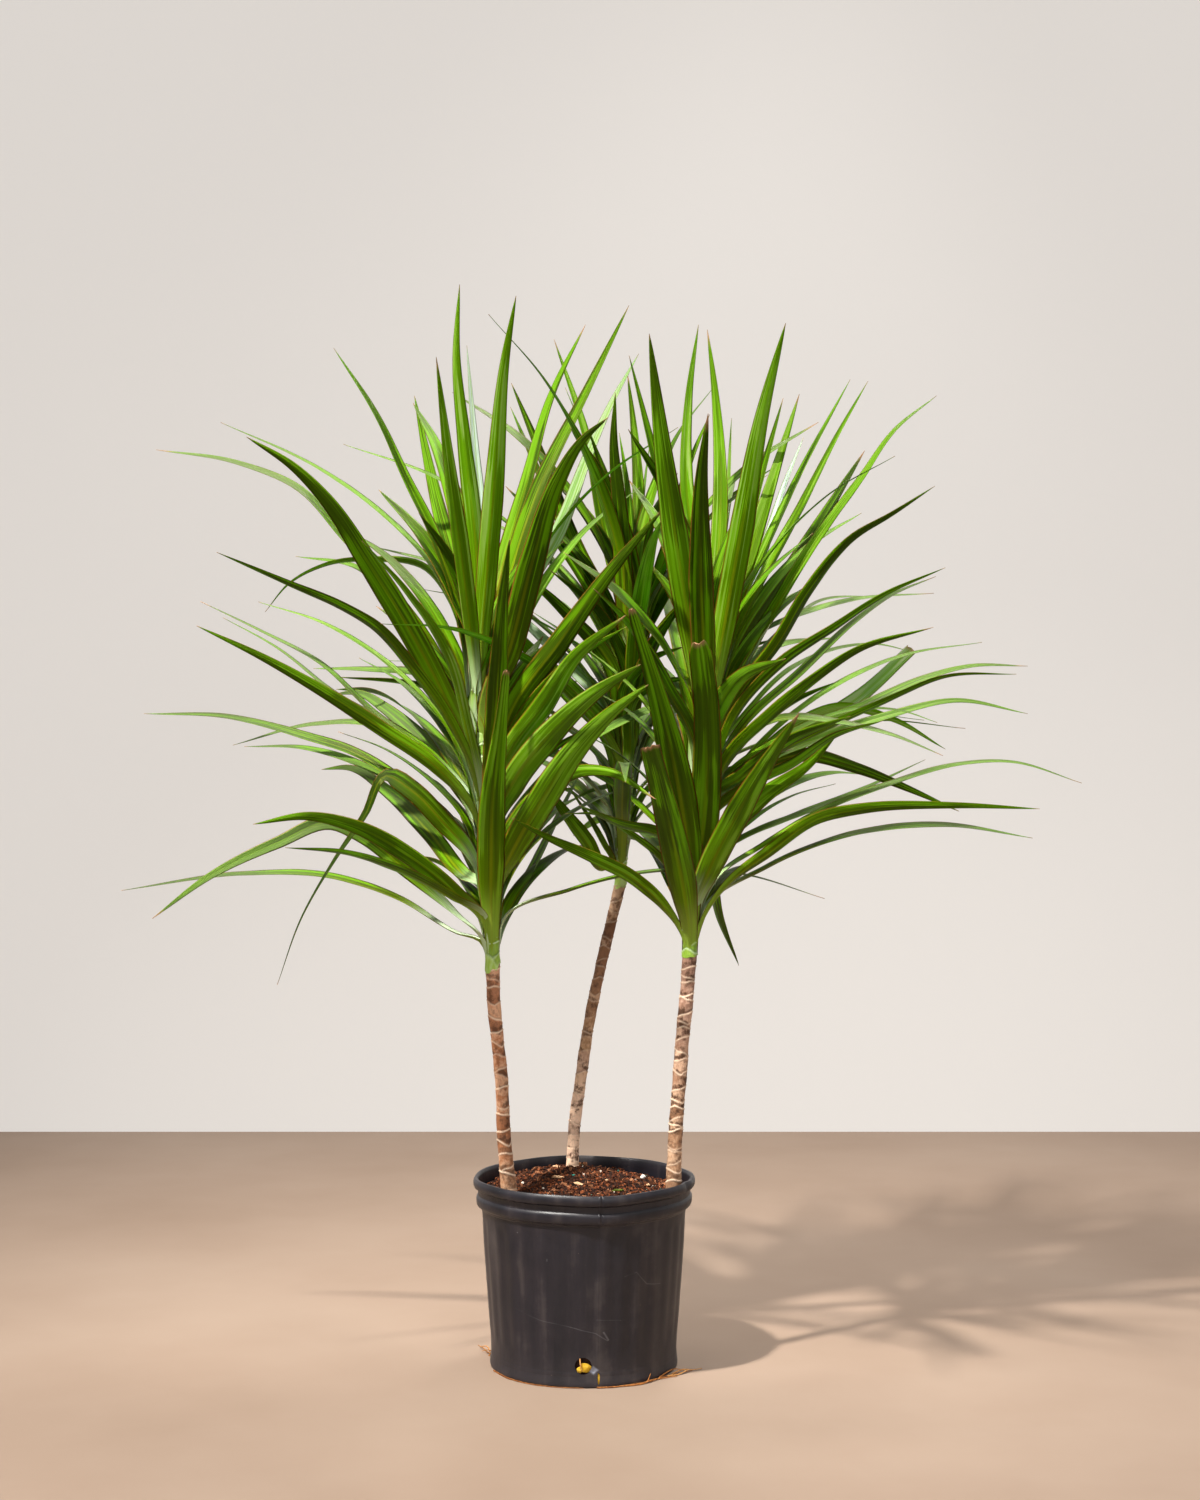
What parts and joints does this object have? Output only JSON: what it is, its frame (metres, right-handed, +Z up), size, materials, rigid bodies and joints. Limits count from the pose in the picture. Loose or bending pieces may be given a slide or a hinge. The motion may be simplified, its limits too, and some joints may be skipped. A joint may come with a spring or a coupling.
{
  "type": "potted dragon tree",
  "caption": "Potted dragon tree: slim ringed canes of unequal height, each topped by a spray of long narrow leaves, standing in a round rimmed nursery pot filled with potting mix.",
  "frame": {"origin": "middle of the flat underside of the pot", "axes": "+Z up along the pot's axis; -Y towards the viewer of the front, +X to the viewer's right"},
  "size_m": [1.2087, 0.8794, 1.3346],
  "materials": {
    "pot": "satin charcoal black, moulded",
    "soil": "crumbly bark and peat potting mix",
    "cane": "dry tan bark with pale leaf scar rings",
    "leaf": "glossy green blade with a thin purple red edge"
  },
  "bodies": {
    "root": {"pot": "pot", "soil": "soil", "cane_left": "cane", "cane_back": "cane", "cane_right": "cane", "leaves_left": "leaf", "leaves_back": "leaf", "leaves_right": "leaf"}
  },
  "joints": []
}
